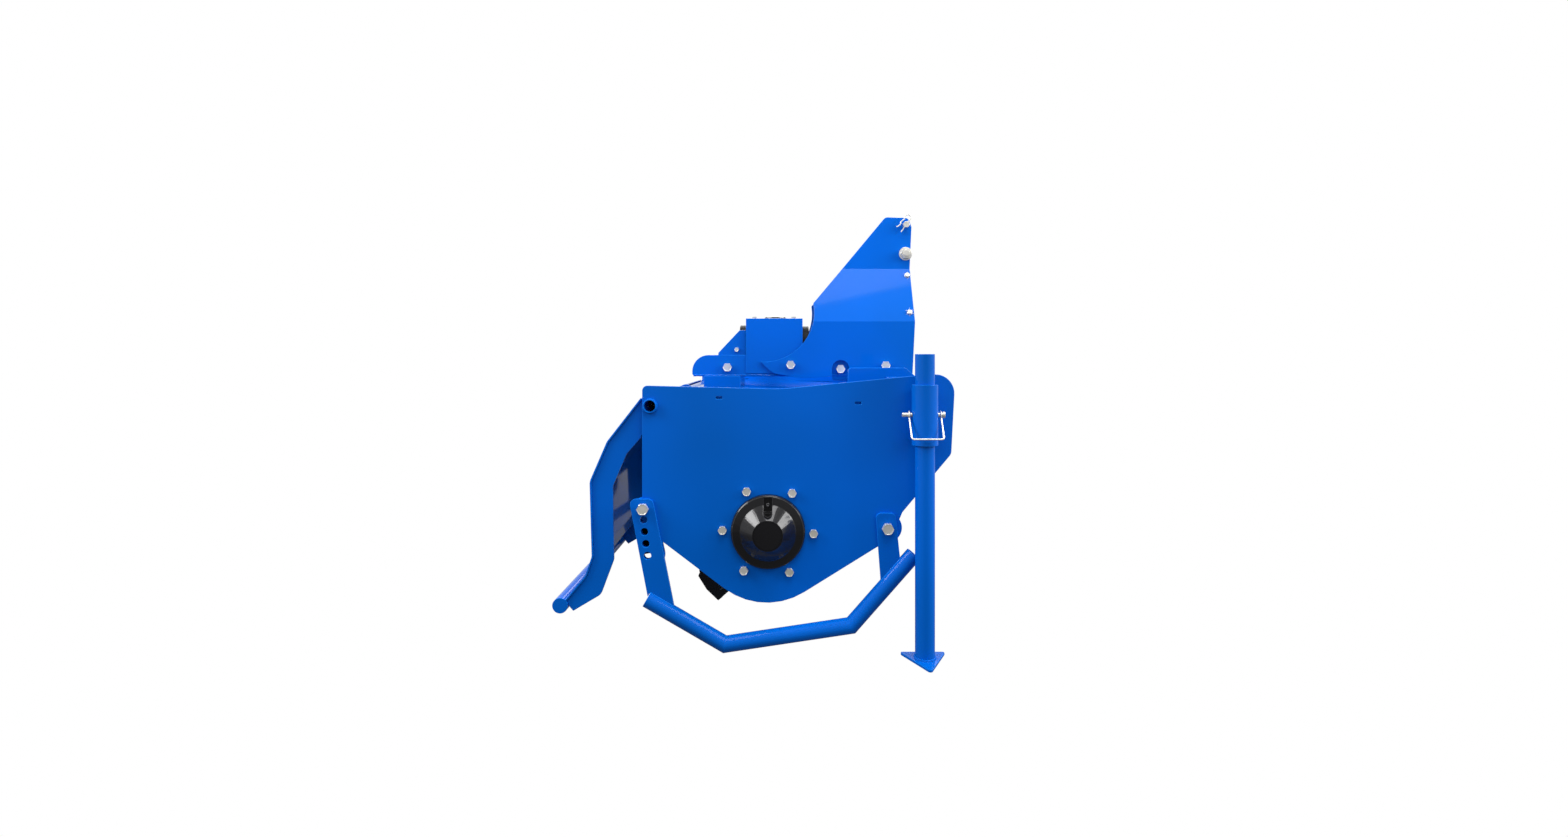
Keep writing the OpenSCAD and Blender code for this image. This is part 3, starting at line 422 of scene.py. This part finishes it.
def evenly(points, step, closed):
    line = [Vector(p) for p in points]
    if closed:
        line.append(line[0].copy())
    lengths = [(b - a).length for a, b in zip(line, line[1:])]
    total = sum(lengths)
    count = max(3, round(total / step))
    out = []
    leg, done = 0, 0.0
    for i in range(count + (0 if closed else 1)):
        want = total * i / count
        while leg < len(lengths) - 1 and done + lengths[leg] < want:
            done += lengths[leg]
            leg += 1
        out.append(line[leg].lerp(line[leg + 1], (want - done) / lengths[leg]))
    return out, total / count


def sweep(bm, points, up, radiusAt, sides, closed):
    rows = []
    n = len(points)
    for i, p in enumerate(points):
        before = points[i - 1] if closed or i else p
        after = points[(i + 1) % n] if closed or i < n - 1 else p
        along = (after - before).normalized()
        side = along.cross(up).normalized()
        lift = side.cross(along).normalized()
        r = radiusAt(i)
        rows.append([bm.verts.new(p + r * (math.cos(t) * side + math.sin(t) * lift))
                     for t in (2 * math.pi * k / sides for k in range(sides))])
    pairs = list(zip(rows, rows[1:])) + ([(rows[-1], rows[0])] if closed else [])
    for low, high in pairs:
        for k in range(sides):
            m = (k + 1) % sides
            bm.faces.new((low[k], low[m], high[m], high[k]))
    if not closed:
        bm.faces.new(tuple(reversed(rows[0])))
        bm.faces.new(tuple(rows[-1]))


# Fasteners

boltShape = {
    "face": 0.75, "faceHigh": 0.12, "headHigh": 0.65, "corner": 0.87, "chamfer": 0.81,
    "washer": 1.05, "washerHigh": 0.15, "nutHigh": 0.8, "endHigh": 0.2, "samples": 48,
    "dish": (0.70, 0.66, 0.03), "shank": 0.5, "shankEnd": 0.46, "lead": 0.04, "shankSamples": 24,
    "rim": 0.03, "pitch": 0.125, "root": 0.44, "tip": 0.40, "inNut": 0.1, "past": 0.5,
}
boltSizes = (0.008, 0.012, 0.016, 0.020)


def hexLevels(m, low, high, bottomToo):
    b = boltShape
    flat = b["corner"] * m * math.cos(math.pi / 6)
    steps = [k / 4 * (b["corner"] - b["chamfer"]) * m for k in range(5)]
    top = [(high - d / math.sqrt(3), hexagon(flat, b["chamfer"] * m + d)) for d in reversed(steps)]
    base = [(low + d / math.sqrt(3), hexagon(flat, b["chamfer"] * m + d)) for d in steps]
    return (base if bottomToo else [(low, hexagon(flat, m))]) + top


def addHead(bm, place, m):
    b = boltShape
    seat = b["faceHigh"] * m
    lathe(bm, place, [(0, b["face"] * m), (seat, b["face"] * m)], b["samples"])
    high = seat + b["headHigh"] * m
    outer, inner, deep = (share * m for share in b["dish"])
    levels = hexLevels(m, seat, high, False) + [(high, outer), (high - deep, inner)]
    lathe(bm, place, levels, b["samples"])


def addShank(bm, place, m, low, high):
    b = boltShape
    r = b["shank"] * m
    levels = [(low, b["shankEnd"] * m), (low + b["lead"] * m, r), (high, r)]
    lathe(bm, place, levels, b["shankSamples"])


def addNutEnd(bm, place, m, grip):
    b = boltShape
    low = -grip - b["washerHigh"] * m
    w = b["washer"] * m
    rim = b["rim"] * m
    lathe(bm, place, [(low, w - rim), (low + rim, w), (-grip - rim, w), (-grip, w - rim)], b["samples"])
    nutLow = low - b["nutHigh"] * m
    lathe(bm, place, hexLevels(m, nutLow, low, True), b["samples"])
    end = nutLow - b["endHigh"] * m
    pitch = b["pitch"] * m
    ridges = [(end, b["tip"] * m)]
    z = end + b["lead"] * m
    while z < nutLow - 0.25 * pitch:
        ridges += [(z, b["shank"] * m), (z + pitch / 2, b["root"] * m)]
        z += pitch
    lathe(bm, place, ridges + [(nutLow + b["inNut"] * m, b["shank"] * m)], b["shankSamples"])


def nearestSize(width):
    fits = [(abs(width - 2 * boltShape["washer"] * m), m, True) for m in boltSizes]
    fits += [(abs(width - 2 * boltShape["corner"] * m), m, False) for m in boltSizes]
    return min(fits)[1:]


def fineBolts(node):
    source = mergedCopy(node)
    bm = bmesh.new()
    headHigh = boltShape["faceHigh"] + boltShape["headHigh"]
    for low, high in islandBoxes(source):
        size = high - low
        middle = (low + high) / 2
        m, nutted = nearestSize(size.x)
        if size.z > size.y:
            seat = Vector((middle.x, middle.y, high.z - headHigh * m))
            place = Matrix.Translation(seat)
            length = size.z
        else:
            side = 1 if middle.y > 0 else -1
            outer = high.y if side > 0 else -low.y
            seat = Vector((middle.x, side * (outer - headHigh * m), middle.z))
            place = Matrix.Translation(seat) @ Matrix.Rotation(-side * math.pi / 2, 4, "X")
            length = size.y
        addHead(bm, place, m)
        under = length - headHigh * m
        if nutted:
            past = boltShape["washerHigh"] + boltShape["nutHigh"] + boltShape["endHigh"]
            grip = under - past * m
            addShank(bm, place, m, -grip - boltShape["past"] * m, 0)
            addNutEnd(bm, place, m, grip)
        else:
            addShank(bm, place, m, -under, 0)
    source.free()
    finishPiece(bm, node + "Turned", bodyOf[node], slotOf[node], (node,))


# Weld beads

weld = {
    "radius": 0.0032, "thin": 0.0022, "ripple": 0.0042, "depth": 0.16, "drift": 0.06,
    "step": 0.0013, "sides": 8, "off": 0.001, "lift": 0.0005, "short": 0.004,
}
standShape = {"foot": 0.0065, "radius": 0.0225}


def weldBead(bm, points, up, closed, radius=None):
    r = radius or weld["radius"]
    line, step = evenly(points, weld["step"], closed)
    wave = 2 * math.pi * step / weld["ripple"]

    def radiusAt(i):
        drift = math.sin(0.37 * i + 1.3 * math.sin(0.11 * i))
        return r * (1 + weld["depth"] * math.sin(wave * i) + weld["drift"] * drift)
    sweep(bm, line, up, radiusAt, weld["sides"], closed)


def circlePoints(centre, r, across, along, count=72):
    return [centre + r * (math.cos(t) * across + math.sin(t) * along)
            for t in (2 * math.pi * k / count for k in range(count))]


def weldRing(bm, x, y, z, r, radius=None):
    # A bead around a tube that runs across the machine
    weldBead(bm, circlePoints(Vector((x, y, z)), r, xAxis, zAxis), yAxis, True, radius)


def tubeOf(node):
    low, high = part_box(node)
    middle = (low + high) / 2
    return middle.x, middle.z, (high.z - low.z) / 2


def addFrameWelds():
    bm = bmesh.new()
    off, lift, short = weld["off"], weld["lift"], weld["short"]
    plateIn, plateOut = (corner.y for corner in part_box("left_side_plate"))

    x, z, r = tubeOf("axle_tube")
    for y in (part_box("left_saddle")[1].y + off, plateIn - off):
        weldRing(bm, x, y, z, r)

    x, z, r = tubeOf("hinge_tube")
    for side in (-1, 1):
        weldRing(bm, x, side * (plateOut + off), z, r, weld["thin"])

    for name in ("left_saddle", "right_saddle"):
        low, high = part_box(name)
        for y in (low.y, high.y):
            foot = low.z + lift
            weldBead(bm, [(low.x + short, y, foot), (high.x - short, y, foot)], yAxis, False)

    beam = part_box("front_beam")
    for name in ("left_hitch_bracket", "right_hitch_bracket"):
        for y in sorted((corner.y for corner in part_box(name)), key=abs, reverse=True):
            weldBead(bm, [
                (beam[1].x + lift, y, beam[0].z + short), (beam[1].x + lift, y, beam[1].z + lift),
                (beam[0].x, y, beam[1].z + lift)], yAxis, False)
    finishPiece(bm, "frameWelds", "frame", "blue_paint")


def addFootWelds():
    bm = bmesh.new()
    low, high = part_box("stand_sleeves")
    y = joints["left_bail_swing"]["pos_m"][1]
    for side in (-1, 1):
        centre = Vector(((low.x + high.x) / 2, side * y, standShape["foot"]))
        weldBead(bm, circlePoints(centre, standShape["radius"], xAxis, yAxis), zAxis, True)
    finishPiece(bm, "footWelds", "frame", "blue_paint")


def addRotorWelds():
    flanges = mergedCopy("tine_flanges")
    r = tubeOf("rotor_tube")[2]
    bm = bmesh.new()
    for low, high in islandBoxes(flanges):
        for y in (low.y - weld["off"], high.y + weld["off"]):
            weldRing(bm, rotorAxis.x, y, rotorAxis.z, r)
    flanges.free()
    finishPiece(bm, "rotorWelds", "rotor", "black_paint")


# Hairpin clip on the top link pin

clipShape = {
    "wire": 0.0019, "sides": 12, "step": 0.0012, "turn": math.radians(35),
    "low": -0.028, "top": 0.022, "legSteps": 8,      # the straight leg, through the pin
    "ring": 0.0089, "arc": math.radians(200), "arcSteps": 21,
    # the sprung leg, from the ring's end
    "bends": [
        (0.0016, -0.004), (0.0022, -0.009), (0.0000, -0.014), (-0.0012, -0.020),
        (0.0010, -0.026), (0.0016, -0.031), (-0.0010, -0.037), (-0.0040, -0.042),
    ],
}


def addClip():
    c = clipShape
    low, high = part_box("hairpin_clip")
    pinLow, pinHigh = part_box("top_link_pin")
    centre = (pinLow + pinHigh) / 2
    centre.y = (low.y + high.y) / 2
    leg = c["top"] - c["low"]
    path = [(0, c["low"] + leg * k / c["legSteps"]) for k in range(c["legSteps"] + 1)]
    for k in range(1, c["arcSteps"] + 1):
        t = c["arc"] * k / c["arcSteps"]
        path.append((c["ring"] * (math.cos(t) - 1), c["top"] + c["ring"] * math.sin(t)))
    x, z = path[-1]
    path += [(x + dx, z + dz) for dx, dz in c["bends"]]
    turn = Matrix.Rotation(c["turn"], 3, "Y")
    points, step = evenly([centre + turn @ Vector((px, 0, pz)) for px, pz in path], c["step"], False)
    bm = bmesh.new()
    sweep(bm, points, yAxis, lambda i: c["wire"], c["sides"], False)
    finishPiece(bm, "wireClip", "frame", "zinc_plate", ("hairpin_clip",), False)


# Build

materials = makeMaterials()
addCamera()
addStudio()
print("stage: camera, light and materials")

for name, obj in nodes.items():
    obj.data.materials.clear()
    obj.data.materials.append(materialOf(name))
    obj.data.set_sharp_from_angle(angle=smoothAngle)

boltNodes = ("hub_bolts", "mast_bolts", "skid_bolts", "case_bolts")
for name in boltNodes:
    fineBolts(name)
print("stage: bolts")

softWidth = {
    "zinc_plate": 0.0006, "machined_steel": 0.0005, "bronze": 0.0005, "seal_rubber": 0.0005,
    "black_paint": 0.0010, "blue_paint": 0.0010,
}
asDrawn = ("hairpin_clip", "right_bail", "left_bail") + boltNodes
for name in nodes:
    if name not in asDrawn:
        softened(name, softWidth[slotOf[name]])
print("stage: softened edges")

addRotorWelds()
addFrameWelds()
addFootWelds()
addClip()
print("stage: welds and clip")
